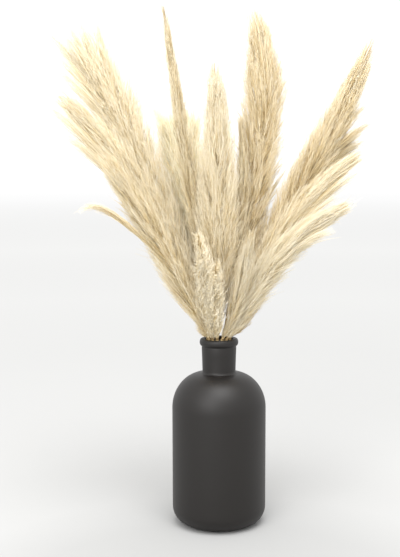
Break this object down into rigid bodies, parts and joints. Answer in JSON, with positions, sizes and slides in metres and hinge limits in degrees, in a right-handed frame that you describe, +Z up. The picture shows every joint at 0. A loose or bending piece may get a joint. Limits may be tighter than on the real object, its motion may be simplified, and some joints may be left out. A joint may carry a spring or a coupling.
{
  "type": "vase of pampas grass",
  "caption": "Bouquet of dried pampas grass plumes on stems, fanned out of the narrow neck of a matt black bottle vase.",
  "frame": {"origin": "middle of the vase's flat base, on the surface it stands on", "axes": "+Z up along the vase's axis; the bouquet's widest fan lies along X, and +Y points to its back"},
  "size_m": [0.438, 0.1952, 0.687],
  "materials": {
    "vase_black": "matt sprayed black",
    "stem_straw": "dry and smooth",
    "plume_straw": "fine dry down",
    "plume_pale": "fine dry down",
    "plume_tan": "fine dry down"
  },
  "bodies": {
    "root": {"vase": "vase_black", "stem_left_high": "stem_straw", "plume_left_high": "plume_straw", "stem_left_mid": "stem_straw", "plume_left_mid": "plume_straw", "stem_left_low": "stem_straw", "plume_left_low": "plume_straw", "stem_centre_left": "stem_straw", "plume_centre_left": "plume_tan", "stem_pale_back": "stem_straw", "plume_pale_back": "plume_pale", "stem_centre": "stem_straw", "plume_centre": "plume_straw", "stem_slim": "stem_straw", "plume_slim": "plume_tan", "stem_tall": "stem_straw", "plume_tall": "plume_straw", "stem_right_high": "stem_straw", "plume_right_high": "plume_straw", "stem_right_mid": "stem_straw", "plume_right_mid": "plume_straw", "stem_right_low": "stem_straw", "plume_right_low": "plume_straw", "stem_front_left": "stem_straw", "plume_front_left": "plume_straw", "stem_front_middle": "stem_straw", "plume_front_middle": "plume_straw", "stem_front_right": "stem_straw", "plume_front_right": "plume_straw"}
  },
  "joints": []
}
